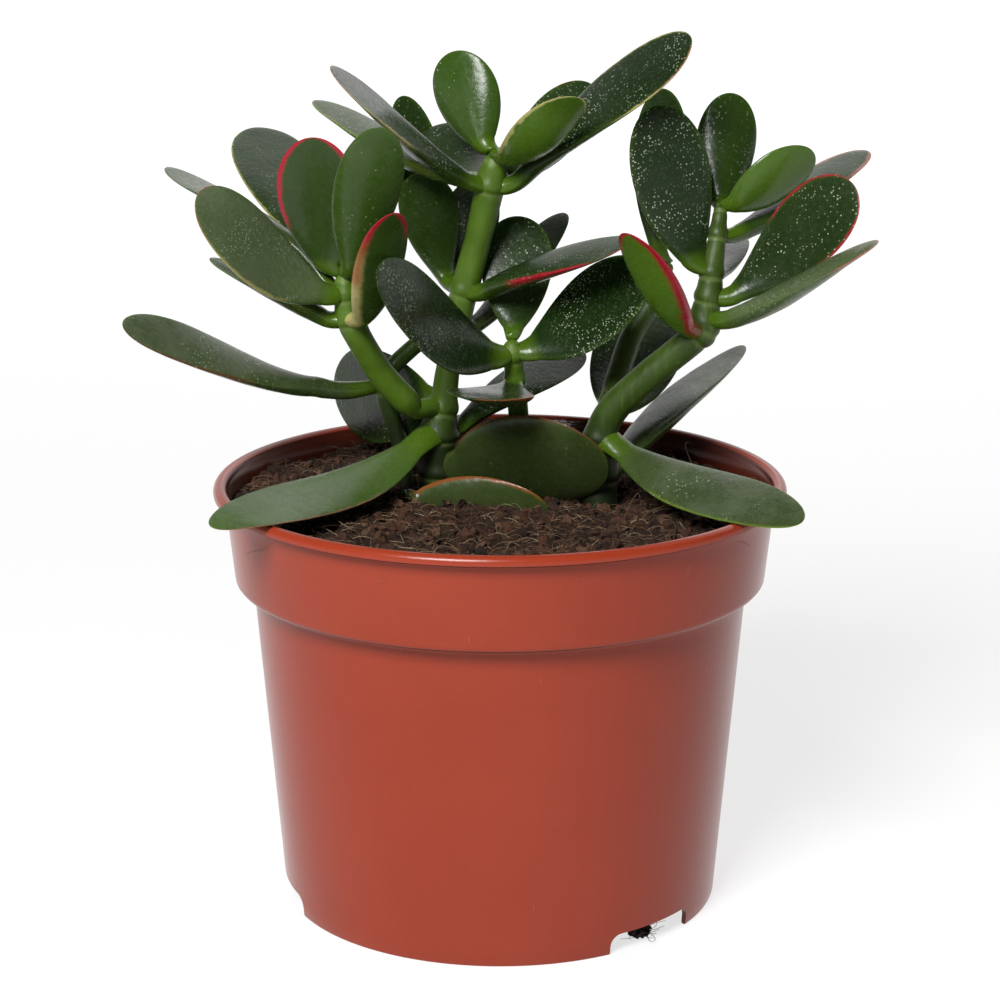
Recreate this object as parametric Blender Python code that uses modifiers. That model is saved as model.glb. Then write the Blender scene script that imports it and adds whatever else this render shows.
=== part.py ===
"""A young jade plant (Crassula ovata) in a 12 cm terracotta-coloured nursery pot.

Lengths in the tables are millimetres; everything is built in metres, with +Z up, the origin on the pot's
axis at the surface it stands on, and the plant's front towards -Y.
"""

from math import cos, exp, pi, radians, sin, sqrt

import bmesh
import bpy
from mathutils import Matrix, Vector

MM = 0.001
GAP = 0.3  # clearance between neighbouring pieces
BED_CLEARANCE = 0.7  # around a leaf that is pressed into the soil

# Pot, a thin moulded cup with a deep collar and a notched foot ring
RIM_RADIUS = 60.0
RIM_HEIGHT = 90.2
LIP_WIDTH = 2.1
LIP_DEPTH = 1.6
COLLAR_TOP_RADIUS = 57.6
COLLAR_FOOT_RADIUS = 55.8
COLLAR_FOOT_HEIGHT = 69.5
COLLAR_STEP_DROP = 1.0
BODY_TOP_RADIUS = 52.0
BODY_FOOT_RADIUS = 46.3
WALL = 1.1
BASE_HEIGHT = 5.0
BASE_THICKNESS = 1.2
TURN_STEPS = 60
NOTCH_COUNT = 3
NOTCH_HEIGHT = 4.3
NOTCH_HALF_ANGLE = radians(14)
FIRST_NOTCH_ANGLE = radians(43)  # from the front (-Y) towards +X
DRAIN_COUNT = 6
DRAIN_RADIUS = 4.2
DRAIN_CIRCLE = 37.0
TUFT_RADIUS = 2.7
TUFT_FOOT = 0.6
TUFT_LEAN = 7.0  # how far out its foot hangs, past the drain hole

# Soil
SOIL_LEVEL = 83.0
SOIL_RINGS = (12.0, 24.0, 35.0, 45.0)

# Leaves
LEAF_SIDES = 8
LEAF_RINGS = 12
PETIOLE_END = 0.06  # share of the length over which the leaf's foot rounds off
TIP_SHARPNESS = 0.5
CUPPING = 0.10
UPPER_BULGE = 0.75  # how far the upper face stands off the margin plane, against 1.25 below
STEM_SIDES_RESOLUTION = 2

# Each stem is a list of (x, y, z, radius), from the soil or the parent stem upwards.
STEMS = {
    "main_stem": [
        (-13.0, 9.0, 80.0, 4.4),
        (-13.0, 8.5, 90.0, 4.2),
        (-13.0, 8.0, 98.0, 4.1),
        (-12.0, 8.0, 104.0, 2.9),
        (-11.0, 8.0, 112.0, 2.5),
        (-9.3, 8.0, 120.0, 2.6),
        (-7.4, 8.0, 129.0, 3.0),
        (-4.6, 7.0, 139.5, 2.8),
        (-2.0, 5.0, 151.5, 3.2),
        (-1.0, 4.0, 158.0, 2.0),
    ],
    "left_branch": [
        (-18.0, 3.6, 104.0, 2.2),
        (-20.0, 2.5, 106.5, 2.9),
        (-25.0, 0.0, 113.0, 2.8),
        (-29.2, -3.2, 121.0, 2.8),
        (-30.8, -4.2, 125.5, 3.0),
        (-31.6, -4.6, 130.5, 2.4),
        (-32.0, -4.8, 135.0, 1.7),
    ],
    "left_rear_stem": [
        (-19.5, 13.0, 80.0, 1.9),
        (-21.5, 14.0, 94.0, 1.8),
        (-25.0, 14.0, 107.0, 1.9),
        (-23.0, 15.5, 110.5, 1.8),
        (-19.0, 18.0, 114.0, 1.8),
        (-12.0, 21.0, 119.5, 1.8),
        (-8.0, 22.0, 127.0, 1.5),
    ],
    "centre_stem": [
        (4.3, 10.4, 80.0, 2.3),
        (4.2, 9.0, 94.0, 2.2),
        (3.8, 5.0, 104.0, 2.1),
        (3.2, 2.5, 111.0, 2.0),
        (2.6, 0.4, 117.0, 2.2),
        (2.4, 0.0, 120.0, 1.4),
    ],
    "right_stem": [
        (21.0, -1.0, 80.0, 3.7),
        (21.0, -0.5, 91.0, 3.5),
        (21.0, 0.0, 99.0, 3.4),
        (23.5, -0.6, 105.0, 3.2),
        (29.5, -2.0, 111.5, 3.1),
        (41.0, -4.0, 122.0, 3.1),
        (41.9, -3.9, 125.5, 3.0),
        (42.8, -3.6, 129.5, 2.7),
        (43.4, -3.0, 134.5, 2.4),
        (44.6, -0.5, 142.0, 1.8),
        (45.4, 2.0, 147.5, 1.3),
    ],
    "right_rear_branch": [
        (23.0, 5.6, 105.5, 1.8),
        (24.5, 9.5, 109.0, 2.5),
        (28.0, 16.0, 117.0, 2.4),
        (32.5, 20.0, 124.0, 2.3),
        (36.0, 23.5, 132.0, 1.7),
    ],
}

# Each leaf: (name, where its foot is, tip, way its upper face looks, bow, width, thickness, fullness).
# The foot is a stem and the number of its point, or a free place in the soil. A positive bow lets the leaf
# sag below the line from foot to tip, as a share of its length. Fullness sets how soon the blade broadens:
# a low one is round, a high one has a long narrow foot.
LEAVES = [
    ("crown_leaf_right", ("main_stem", 8), (38, -8, 182.5), (-4, -4, 6), -0.03, 17.0, 4.6, 1.2),
    ("crown_leaf_left", ("main_stem", 8), (-33, -20, 177.5), (6, -2, 7), 0.02, 13.0, 4.4, 1.0),
    ("crown_leaf_left_rear", ("main_stem", 8), (-39, 18, 167), (3, -2, 8), 0.05, 12.0, 4.0, 0.9),
    ("crown_leaf_rear", ("main_stem", 8), (-15, 32, 159.5), (-2, -5, 8), 0.08, 14.0, 4.2, 0.7),
    ("crown_leaf_right_rear", ("main_stem", 8), (19, 18, 170.5), (-3, -7, 4), 0.04, 14.0, 3.8, 0.8),
    ("crown_leaf_upright", ("main_stem", 9), (-10.5, 12, 177.5), (3, 8, 1), -0.04, 14.5, 4.4, 0.7),
    ("crown_leaf_cupped", ("main_stem", 9), (15, -18, 172), (-3, 7, 3), 0.06, 12.5, 3.6, 0.7),
    ("middle_leaf_left", ("main_stem", 6), (-17, 17, 152), (6, -8, 1), 0.06, 15.0, 4.2, 1.0),
    ("middle_leaf_right", ("main_stem", 6), (26, -16, 143), (-2, -3, 9), -0.03, 12.0, 4.6, 0.9),
    ("middle_leaf_rear", ("main_stem", 5), (14, 36, 140.5), (-3, -4, 7), 0.06, 9.5, 4.0, 1.0),
    ("rear_leaf_upright", ("left_rear_stem", 6), (-4, 20, 150), (0, -9, 1), -0.03, 12.0, 3.6, 0.8),
    ("rear_leaf_tall", ("left_rear_stem", 6), (-21, 35, 166), (4, -9, 2), 0.05, 11.0, 4.0, 0.9),
    ("left_leaf_broad", ("left_branch", 5), (-59.5, -26, 152.5), (4, -6, 6), 0.06, 19.0, 4.6, 0.8),
    ("left_leaf_low", ("left_branch", 4), (-59, -7, 138), (3, -1, 9), -0.02, 10.5, 4.2, 0.9),
    ("left_leaf_upright", ("left_branch", 6), (-23, -25, 167), (-1, 8, 0), -0.03, 13.5, 4.4, 0.7),
    ("left_leaf_red_rimmed", ("left_branch", 6), (-37.5, -6, 162.5), (-4, -8, 3), 0.03, 19.0, 4.2, 0.7),
    ("left_leaf_slim", ("left_branch", 5), (-70, 19, 153), (3, -1, 8), -0.07, 10.5, 4.0, 1.8),
    ("left_leaf_rear", ("left_branch", 6), (-54, 48, 157.5), (3, -8, 4), 0.03, 18.5, 4.2, 1.1),
    ("left_leaf_leaning", ("left_branch", 4), (-21, -30, 151), (-4, 6, 4), 0.05, 11.5, 4.0, 0.7),
    ("left_leaf_long", ("left_rear_stem", 2), (-77, -8, 124.5), (2, -4, 8), 0.07, 13.5, 4.8, 1.6),
    ("left_leaf_dark", ("main_stem", 3), (-37, 40, 100), (4, -8, 1), 0.0, 21.0, 3.8, 0.7),
    ("rim_leaf_left", ("main_stem", 2), (-56, -45, 92.0), (1, -3, 8), 0.08, 13.5, 3.5, 0.6),
    ("low_leaf_rear", ("main_stem", 2), (18, 31, 111), (-1, -4, 8), -0.05, 12.0, 3.6, 1.0),
    ("soil_leaf_front", (-19, 0, 84), (10, -8, 85.5), (0, 8, 2), -0.05, 13.0, 3.4, 0.5),
    ("centre_leaf_left", ("centre_stem", 4), (-24, -33, 138.5), (3, -7, 6), 0.06, 20.0, 4.6, 0.7),
    ("centre_leaf_right", ("centre_stem", 4), (30, -8, 136), (-4, -8, 6), 0.05, 17.5, 4.4, 0.7),
    ("centre_leaf_upright", ("centre_stem", 5), (4, 16, 143), (0, -8, 2), 0.04, 15.0, 4.0, 0.8),
    ("centre_leaf_front", ("centre_stem", 3), (-5, -26, 113), (0, -1, 9), 0.04, 17.0, 3.8, 0.7),
    ("round_leaf_front", ("main_stem", 1), (21.5, -12, 98), (-2, 8, 2), 0.00, 24.5, 4.2, 0.5),
    ("rim_leaf_right", ("right_stem", 2), (58.8, -42, 92.0), (-1, -4, 8), 0.07, 14.5, 3.8, 0.7),
    ("rear_leaf_standing", ("right_stem", 1), (54, 46, 109), (-5, -4, 6), -0.02, 13.0, 4.6, 0.7),
    ("right_leaf_tall", ("right_stem", 8), (31, -4, 168.5), (3, -8, 2), 0.04, 17.5, 4.6, 0.8),
    ("right_leaf_red_backed", ("right_stem", 5), (25, -30, 147), (5, 6, 4), 0.04, 12.0, 4.2, 0.7),
    ("right_leaf_broad", ("right_stem", 7), (71, -10, 153.5), (-4, -8, 5), 0.06, 17.0, 4.4, 1.0),
    ("right_leaf_low", ("right_stem", 6), (74, -26, 144.5), (-3, -1, 8), 0.02, 12.0, 4.8, 1.0),
    ("right_leaf_slim", ("right_stem", 9), (77.5, 22, 156), (-3, -3, 8), 0.02, 12.0, 4.4, 1.1),
    ("right_leaf_young", ("right_stem", 10), (64, 1, 158.5), (-3, 7, 4), 0.03, 13.5, 3.8, 0.6),
    ("right_leaf_oval", ("right_stem", 10), (48.5, 14, 169), (-1, 8, 2), -0.03, 13.0, 3.8, 0.7),
    ("right_leaf_short", ("right_stem", 8), (50, 22, 138), (-2, -4, 8), 0.05, 9.0, 3.2, 0.8),
    ("right_rear_leaf_tall", ("right_rear_branch", 4), (34.5, 27, 168.5), (2, -8, 1), 0.04, 12.0, 4.0, 0.8),
    ("right_rear_leaf_round", ("right_rear_branch", 0), (36, 42, 121), (0, -7, 4), 0.05, 19.0, 4.0, 0.6),
]
BEDDED_LEAVES = ("soil_leaf_front", "round_leaf_front")  # their lower edge sits in the soil
PETIOLE_HALF_WIDTH = 2.1
PETIOLE_HALF_THICKNESS = 1.5
THIN_STEM_RADIUS = 2.0  # below this, petioles are scaled down with the stem

COLOURS = {
    "terracotta plastic": ((0.42, 0.075, 0.038), 0.35),
    "peat soil": ((0.035, 0.018, 0.011), 0.95),
    "dark leaf": ((0.020, 0.075, 0.018), 0.30),
    "young leaf": ((0.060, 0.190, 0.020), 0.32),
    "green stem": ((0.110, 0.260, 0.025), 0.40),
    "root": ((0.020, 0.014, 0.010), 0.90),
}
YOUNG_LEAVES = {"crown_leaf_cupped", "right_leaf_young", "right_leaf_red_backed", "left_leaf_leaning"}


def clear_scene():
    for obj in list(bpy.data.objects):
        bpy.data.objects.remove(obj, do_unlink=True)


def new_collection(name):
    collection = bpy.data.collections.new(name)
    bpy.context.scene.collection.children.link(collection)
    return collection


def material(name):
    made = bpy.data.materials.get(name)
    if made:
        return made
    colour, roughness = COLOURS[name]
    made = bpy.data.materials.new(name)
    made.use_nodes = True
    shader = made.node_tree.nodes["Principled BSDF"]
    shader.inputs["Base Color"].default_value = (*colour, 1)
    shader.inputs["Roughness"].default_value = roughness
    shader.inputs["Metallic"].default_value = 0
    return made


def add_object(name, data, collection, material_name=None):
    obj = bpy.data.objects.new(name, data)
    collection.objects.link(obj)
    if material_name:
        data.materials.append(material(material_name))
    return obj


def as_cutter(obj):
    obj.hide_render = True
    obj.display_type = "WIRE"
    return obj


def evaluated_mesh(obj):
    bpy.context.view_layer.update()
    graph = bpy.context.evaluated_depsgraph_get()
    return bpy.data.meshes.new_from_object(obj.evaluated_get(graph))


def turned(name, profile, collection, material_name=None):
    """A solid of revolution about Z from (radius, height) points that run down its outer side."""
    mesh = bpy.data.meshes.new(name)
    points = [(radius * MM, 0, height * MM) for radius, height in profile]
    mesh.from_pydata(points, [(i, i + 1) for i in range(len(points) - 1)], [])
    obj = add_object(name, mesh, collection, material_name)
    screw = obj.modifiers.new("Turn", "SCREW")
    screw.steps = TURN_STEPS
    screw.render_steps = TURN_STEPS
    screw.use_merge_vertices = True
    screw.merge_threshold = 0.00001
    screw.use_smooth_shade = True
    return obj


def cut(obj, cutter, name):
    boolean = obj.modifiers.new(name, "BOOLEAN")
    boolean.operation = "DIFFERENCE"
    boolean.solver = "EXACT"
    boolean.object = cutter


def around(radius, angle):
    """A point at this distance from the axis, its angle measured from the front towards +X."""
    return radius * sin(angle), -radius * cos(angle)


def pot_profile():
    """(radius, height) points: up the inside, over the lip, down the outside and in under the base."""
    inner_step = COLLAR_FOOT_HEIGHT - COLLAR_STEP_DROP - WALL
    base_top = BASE_HEIGHT + BASE_THICKNESS
    foot_inner = BODY_FOOT_RADIUS - WALL
    slope = (BODY_TOP_RADIUS - BODY_FOOT_RADIUS) / COLLAR_FOOT_HEIGHT
    return [
        (0, base_top),
        (foot_inner + slope * base_top - 1.5, base_top),
        (foot_inner + slope * base_top, base_top + 1.5),
        (BODY_TOP_RADIUS - WALL, inner_step),
        (COLLAR_FOOT_RADIUS - WALL, inner_step + 2.0),
        (COLLAR_TOP_RADIUS - WALL, RIM_HEIGHT - LIP_DEPTH - 0.8),
        (RIM_RADIUS - LIP_WIDTH, RIM_HEIGHT - 0.3),
        (RIM_RADIUS - LIP_WIDTH + 0.4, RIM_HEIGHT),
        (RIM_RADIUS - 0.4, RIM_HEIGHT),
        (RIM_RADIUS, RIM_HEIGHT - 0.4),
        (RIM_RADIUS - 0.1, RIM_HEIGHT - LIP_DEPTH),
        (COLLAR_TOP_RADIUS + 0.3, RIM_HEIGHT - LIP_DEPTH - 0.5),
        (COLLAR_TOP_RADIUS, RIM_HEIGHT - LIP_DEPTH - 1.4),
        (COLLAR_FOOT_RADIUS, COLLAR_FOOT_HEIGHT + 1.2),
        (COLLAR_FOOT_RADIUS - 0.8, COLLAR_FOOT_HEIGHT),
        (BODY_TOP_RADIUS + 0.6, COLLAR_FOOT_HEIGHT - 0.4),
        (BODY_TOP_RADIUS, COLLAR_FOOT_HEIGHT - COLLAR_STEP_DROP),
        (BODY_FOOT_RADIUS, 0),
        (foot_inner, 0),
        (foot_inner + slope * BASE_HEIGHT, BASE_HEIGHT),
        (0, BASE_HEIGHT),
    ]


def notch_cutter(name, angle, cutters):
    """A wedge that takes one notch out of the foot ring, its upper corners rounded."""
    shape = bmesh.new()
    bmesh.ops.create_cube(shape, size=1)
    width = 2 * BODY_FOOT_RADIUS * sin(NOTCH_HALF_ANGLE)
    depth = 12.0
    bmesh.ops.scale(shape, vec=(width * MM, depth * MM, 2 * NOTCH_HEIGHT * MM), verts=shape.verts)
    upper = [e for e in shape.edges if all(v.co.z > 0 for v in e.verts) and is_along_y(e)]
    bmesh.ops.bevel(shape, geom=upper, offset=2.2 * MM, segments=3, affect="EDGES", profile=0.5)
    mesh = bpy.data.meshes.new(name)
    shape.to_mesh(mesh)
    shape.free()
    cutter = as_cutter(add_object(name, mesh, cutters))
    x, y = around(BODY_FOOT_RADIUS - 2.0, angle)
    cutter.location = (x * MM, y * MM, 0)
    cutter.rotation_euler = (0, 0, angle)
    return cutter


def is_along_y(edge):
    return abs(edge.verts[0].co.y - edge.verts[1].co.y) > abs(edge.verts[0].co.x - edge.verts[1].co.x)


def upright_cylinder(name, radius, low, high, centre, cutters):
    shape = bmesh.new()
    bmesh.ops.create_cone(
        shape, cap_ends=True, segments=16, radius1=radius * MM, radius2=radius * MM, depth=(high - low) * MM
    )
    mesh = bpy.data.meshes.new(name)
    shape.to_mesh(mesh)
    shape.free()
    cutter = as_cutter(add_object(name, mesh, cutters))
    cutter.location = (centre[0] * MM, centre[1] * MM, (low + high) / 2 * MM)
    return cutter


def drain_angles():
    return [FIRST_NOTCH_ANGLE + 2 * pi * i / DRAIN_COUNT for i in range(DRAIN_COUNT)]


def build_pot(parts, cutters):
    pot = turned("pot", pot_profile(), parts, "terracotta plastic")
    for i in range(NOTCH_COUNT):
        angle = FIRST_NOTCH_ANGLE + 2 * pi * i / NOTCH_COUNT
        cut(pot, notch_cutter(f"notch_{i + 1}", angle, cutters), f"Notch {i + 1}")
    for i, angle in enumerate(drain_angles()):
        hole = upright_cylinder(
            f"drain_{i + 1}",
            DRAIN_RADIUS,
            BASE_HEIGHT - 1,
            BASE_HEIGHT + BASE_THICKNESS + 1,
            around(DRAIN_CIRCLE, angle),
            cutters,
        )
        cut(pot, hole, f"Drain {i + 1}")


def soil_height(x, y):
    """The soil's surface: a mound at the left rear, and low waves."""
    mound = 2.6 * exp(-((x + 36) ** 2 + (y - 20) ** 2) / 14**2)
    return SOIL_LEVEL + mound + 0.7 * sin(x / 7 + 1.3) * cos(y / 9) + 0.4 * sin((x + y) / 5)


def wall_inner_radius(height):
    """The pot's inner radius at this height, below the collar's step."""
    foot = BODY_FOOT_RADIUS - WALL
    return foot + (BODY_TOP_RADIUS - BODY_FOOT_RADIUS) * height / COLLAR_FOOT_HEIGHT


def into_triangles(mesh):
    shape = bmesh.new()
    shape.from_mesh(mesh)
    bmesh.ops.triangulate(shape, faces=shape.faces)
    shape.to_mesh(mesh)
    shape.free()


def build_soil(parts, cutters):
    bottom = BASE_HEIGHT + BASE_THICKNESS + GAP
    step = COLLAR_FOOT_HEIGHT - COLLAR_STEP_DROP - WALL
    collar = COLLAR_FOOT_RADIUS - WALL - GAP
    edge = collar + (COLLAR_TOP_RADIUS - COLLAR_FOOT_RADIUS) * 0.6
    profile = [(0, SOIL_LEVEL)]
    profile += [(radius, SOIL_LEVEL) for radius in SOIL_RINGS]
    profile += [
        (edge - 0.4, SOIL_LEVEL),
        (collar, step + 3.0),
        (BODY_TOP_RADIUS - WALL - GAP - 0.2, step - 0.2),
        (wall_inner_radius(bottom + 2) - GAP, bottom + 2),
        (wall_inner_radius(bottom) - GAP - 2, bottom),
        (0, bottom),
    ]
    raw = turned("soil_blank", profile, cutters)
    mesh = evaluated_mesh(raw)
    for vertex in mesh.vertices:
        if vertex.co.z > (SOIL_LEVEL - 0.01) * MM:
            vertex.co.z = soil_height(vertex.co.x / MM, vertex.co.y / MM) * MM
    bpy.data.objects.remove(raw, do_unlink=True)
    into_triangles(mesh)  # the uneven surface's quads aren't flat, and the sockets need flat faces
    soil = add_object("soil", mesh, parts, "peat soil")
    for name, points in STEMS.items():
        x, y, foot, radius = points[0]
        if foot < SOIL_LEVEL:
            socket = upright_cylinder(
                f"socket_{name}", radius + 3 * GAP, foot - GAP, SOIL_LEVEL + 8, (x, y), cutters
            )
            cut(soil, socket, f"Socket {name}")


def build_root_tuft(parts):
    """Peat and fine roots that have grown through the drain hole and out into the front right notch."""
    shape = bmesh.new()
    bmesh.ops.create_uvsphere(shape, u_segments=10, v_segments=8, radius=1)
    top = BASE_HEIGHT + BASE_THICKNESS - 0.2
    for vertex in shape.verts:
        x, y, z = vertex.co
        lump = 1 + 0.18 * sin(5 * x + 2) * cos(4 * y) + 0.12 * sin(7 * z)
        share = (z + 1) / 2
        lean_x, lean_y = around(TUFT_LEAN * (1 - share) ** 1.5, FIRST_NOTCH_ANGLE)
        vertex.co.x = (x * TUFT_RADIUS * lump + lean_x) * MM
        vertex.co.y = (y * TUFT_RADIUS * lump + lean_y) * MM
        vertex.co.z = (TUFT_FOOT + (top - TUFT_FOOT) * share) * MM
    mesh = bpy.data.meshes.new("root_tuft")
    shape.to_mesh(mesh)
    shape.free()
    mesh.shade_smooth()
    tuft = add_object("root_tuft", mesh, parts, "root")
    x, y = around(DRAIN_CIRCLE, FIRST_NOTCH_ANGLE)
    tuft.location = (x * MM, y * MM, 0)


def build_stem(name, points, parts):
    curve = bpy.data.curves.new(name, "CURVE")
    curve.dimensions = "3D"
    curve.bevel_depth = MM
    curve.bevel_resolution = STEM_SIDES_RESOLUTION
    curve.use_fill_caps = True
    spline = curve.splines.new("POLY")
    spline.points.add(len(points) - 1)
    for point, (x, y, z, radius) in zip(spline.points, points):
        point.co = (x * MM, y * MM, z * MM, 1)
        point.radius = radius
    return add_object(name, curve, parts, "green stem")


def stem_frame(stem, index):
    """The centre, radius and direction of a stem at one of its points, in millimetres."""
    points = STEMS[stem]
    before = Vector(points[max(index - 1, 0)][:3])
    after = Vector(points[min(index + 1, len(points) - 1)][:3])
    return Vector(points[index][:3]), points[index][3], (after - before).normalized()


def leaf_width(t, half_width, petiole, fullness):
    """Half the leaf's width at share t of its length: a narrow foot that broadens to a round-ended blade."""
    widest = fullness / (fullness + TIP_SHARPNESS)
    peak = widest**fullness * (1 - widest) ** TIP_SHARPNESS
    blade = half_width * t**fullness * (1 - t) ** TIP_SHARPNESS / peak
    foot = petiole * (1 - t) ** TIP_SHARPNESS
    return (blade**3 + foot**3) ** (1 / 3) * foot_rounding(t)


def foot_rounding(t):
    return sqrt(max(0.0, 1 - (1 - min(t / PETIOLE_END, 1)) ** 2))


def leaf_thickness(t, half_thickness, petiole):
    """Half the leaf's thickness: thickest a little before the middle, thinning to the tip."""
    blade = half_thickness * (0.45 + 0.55 * sin(pi * min(1, 0.12 + t)))
    foot = petiole * (1 - t)
    return max(blade, foot) * (1 - t) ** TIP_SHARPNESS * foot_rounding(t) * 1.15


def bow_at(t):
    """How far the leaf has sagged at share t of its length: most of the bend is in its first third."""
    return 6.75 * t * (1 - t) ** 2


def bow_slope(t):
    return 6.75 * (1 - t) * (1 - 3 * t)


def leaf_foot(place, tip):
    """Where a leaf leaves its stem, and how much its petiole is scaled down to suit a thin one."""
    if len(place) == 3:
        return Vector(place), 1.0
    centre, stem_radius, stem_way = stem_frame(*place)
    slim = min(1, stem_radius / THIN_STEM_RADIUS)
    reach = tip - centre
    outward = reach - reach.project(stem_way)
    lean = outward.length / reach.length
    clearance = stem_radius + GAP + PETIOLE_HALF_WIDTH * slim * (1 - lean)
    return centre + outward.normalized() * clearance, slim


def leaf_mesh(spec, swell=0.0):
    """A leaf's closed mesh. With a swell it is that much larger all round, to cut its own bed."""
    name, place, tip, face, bow, width, thickness, fullness = spec
    tip = Vector(tip)
    foot, slim = leaf_foot(place, tip)
    axis = (tip - foot).normalized()
    foot -= axis * swell
    length = (tip - foot).length + swell
    petiole = PETIOLE_HALF_WIDTH * slim
    normal = Vector(face)
    normal = (normal - normal.project(axis)).normalized()
    across = axis.cross(normal)

    shape = bmesh.new()
    bmesh.ops.create_uvsphere(shape, u_segments=LEAF_SIDES, v_segments=LEAF_RINGS, radius=1)
    for vertex in shape.verts:
        t = min(max((vertex.co.z + 1) / 2, 0), 1)
        ring = Vector((vertex.co.x, vertex.co.y))
        side = ring.normalized() if ring.length > 1e-6 else Vector((0, 0))
        half_width = leaf_width(t, width / 2 + swell, petiole + swell, fullness)
        half_thickness = leaf_thickness(t, thickness / 2 + swell, PETIOLE_HALF_THICKNESS * slim + swell)
        bulge = UPPER_BULGE if side.y > 0 else 2 - UPPER_BULGE
        midrib = foot + axis * (length * t) - normal * (bow * length * bow_at(t))
        tangent = (axis - normal * (bow * bow_slope(t))).normalized()
        upward = across.cross(tangent)
        cupping = CUPPING * half_width * side.x**2 * sin(pi * t)
        vertex.co = midrib + across * (half_width * side.x)
        vertex.co += upward * (half_thickness * side.y * bulge + cupping)
        vertex.co *= MM
    bmesh.ops.reverse_faces(shape, faces=shape.faces)  # the leaf's own axes are left-handed
    mesh = bpy.data.meshes.new(name)
    shape.to_mesh(mesh)
    shape.free()
    mesh.shade_smooth()
    return mesh


def build_leaf(spec, parts, cutters):
    name = spec[0]
    add_object(name, leaf_mesh(spec), parts, "young leaf" if name in YOUNG_LEAVES else "dark leaf")
    if name in BEDDED_LEAVES:
        bed = as_cutter(add_object(f"bed_of_{name}", leaf_mesh(spec, swell=BED_CLEARANCE), cutters))
        cut(bpy.data.objects["soil"], bed, f"Bed of {name}")


def main():
    clear_scene()
    parts = new_collection("potted_jade_plant")
    cutters = new_collection("cutters")
    build_pot(parts, cutters)
    build_soil(parts, cutters)
    build_root_tuft(parts)
    for name, points in STEMS.items():
        build_stem(name, points, parts)
    for spec in LEAVES:
        build_leaf(spec, parts, cutters)


main()
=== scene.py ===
"""The looks of the potted jade plant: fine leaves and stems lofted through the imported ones, a smooth moulded
pot, crumbly soil with fibres, a root tuft, and a plain studio. Names ending in _MM are in millimetres, and
other lengths are in metres."""

from math import cos, exp, pi, radians, sin

import bmesh
import bpy
import numpy as np
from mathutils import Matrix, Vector, noise

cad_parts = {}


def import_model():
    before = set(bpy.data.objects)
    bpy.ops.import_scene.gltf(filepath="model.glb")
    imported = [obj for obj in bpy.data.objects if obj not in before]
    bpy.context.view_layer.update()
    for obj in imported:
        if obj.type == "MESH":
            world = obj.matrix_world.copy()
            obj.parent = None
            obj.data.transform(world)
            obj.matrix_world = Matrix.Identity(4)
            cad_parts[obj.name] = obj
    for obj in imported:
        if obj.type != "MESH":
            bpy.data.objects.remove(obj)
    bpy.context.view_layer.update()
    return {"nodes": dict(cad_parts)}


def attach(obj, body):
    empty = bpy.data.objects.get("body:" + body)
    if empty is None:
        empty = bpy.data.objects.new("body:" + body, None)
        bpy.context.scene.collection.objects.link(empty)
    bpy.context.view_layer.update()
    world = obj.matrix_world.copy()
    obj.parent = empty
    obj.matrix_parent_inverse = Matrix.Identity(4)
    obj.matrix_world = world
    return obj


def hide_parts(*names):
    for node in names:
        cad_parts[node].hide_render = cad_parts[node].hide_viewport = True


MM = 0.001

# Leaves
LEAF_ROWS = 44
LEAF_AROUND = 44
PETIOLE_ROWS = 7
PETIOLE_RING = 2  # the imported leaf's ring that its petiole is taken from
MARGIN_SHARPNESS = 0.62  # 0.5 is an ellipse's round edge, 1 a knife's
TIP_PLUMPNESS = 0.4  # how much thicker a leaf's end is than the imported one's
PETIOLE_FLARE = 0.15
PETIOLE_WIDTH = 0.8  # its greatest share of the stem's radius where it joins
PETIOLE_DEPTH = 0.35  # where it starts, as a share of the stem's radius
PETIOLE_REACH_MM = 4  # a leaf further than this from every stem has no petiole
DISH_BELOW = 0.75  # how much of a dished upper face shows in the lower one
LEAF_WAVE_MM = 0.16

# Stems
STEM_AROUND = 32
STEM_STEP_MM = 0.5
NODE_SWELL_MM = 0.42
NODE_WIDTH_MM = 1.3
GROOVE_MM = 0.22  # the scar groove just under each node
GROOVE_BELOW_MM = 1.5
GROOVE_WIDTH_MM = 0.4
NODE_SPACING_MM = 1.6  # leaves that join nearer than this share a node
STEM_WAVE_MM = 0.13
BRIDGE_ROWS = 10  # a branch that starts this close to another stem, clear of the soil, runs on into it
BRIDGE_MM = 12
BRIDGE_CLEAR_MM = 8
FAR_MM = 99.0

# Pot
POT_STEPS = 240
NOTCH_ANGLES = (43, 163, 283)  # degrees from the front (-Y) towards +X
NOTCH_HALF_ANGLE = 14
NOTCH_HEIGHT_MM = 4.3
NOTCH_CORNER_MM = 2.4
NOTCH_DEPTH_MM = 12
NOTCH_MIDDLE_MM = 44.3
FOOT_RADIUS_MM = 46.3
DRAINS = 6
DRAIN_CIRCLE_MM = 37.0
DRAIN_RADIUS_MM = 4.2
BASE_MIDDLE_MM = 5.6

# Soil
SOIL_LEVEL_MM = 83.0
SOIL_RADIUS_MM = 56.0
SOIL_RINGS = 120
SOIL_SPOKES = 560
CRUMBS = 2400
FIBRES = 2200
LONG_FIBRES = (  # place and length in millimetres, and how steeply it sets out
    ((24, -22, 84), 13, 1.8),
    ((-6, -46, 84), 12, 0.9),
    ((44, 18, 84), 22, 0.9),
)
SOIL_SEED = 11
TUFT_SEED = 5
TUFT_CRUMBS = 620
TUFT_FIBRES = 60

# Studio
ROOM_FRONT = 0.02  # how bright the surroundings are on the camera's side
ROOM_BACK = 0.8
ROOM_HORIZON = 0.7  # and all round where the floor ends
FLOOR_GLOW = 0.72  # the floor is a lit white table
FLOOR_GLOW_FAR = 0.95  # and runs back into a lit backdrop
FLOOR_HALF = 9
LIGHT_TARGET = (0, 0, 0.09)
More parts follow.
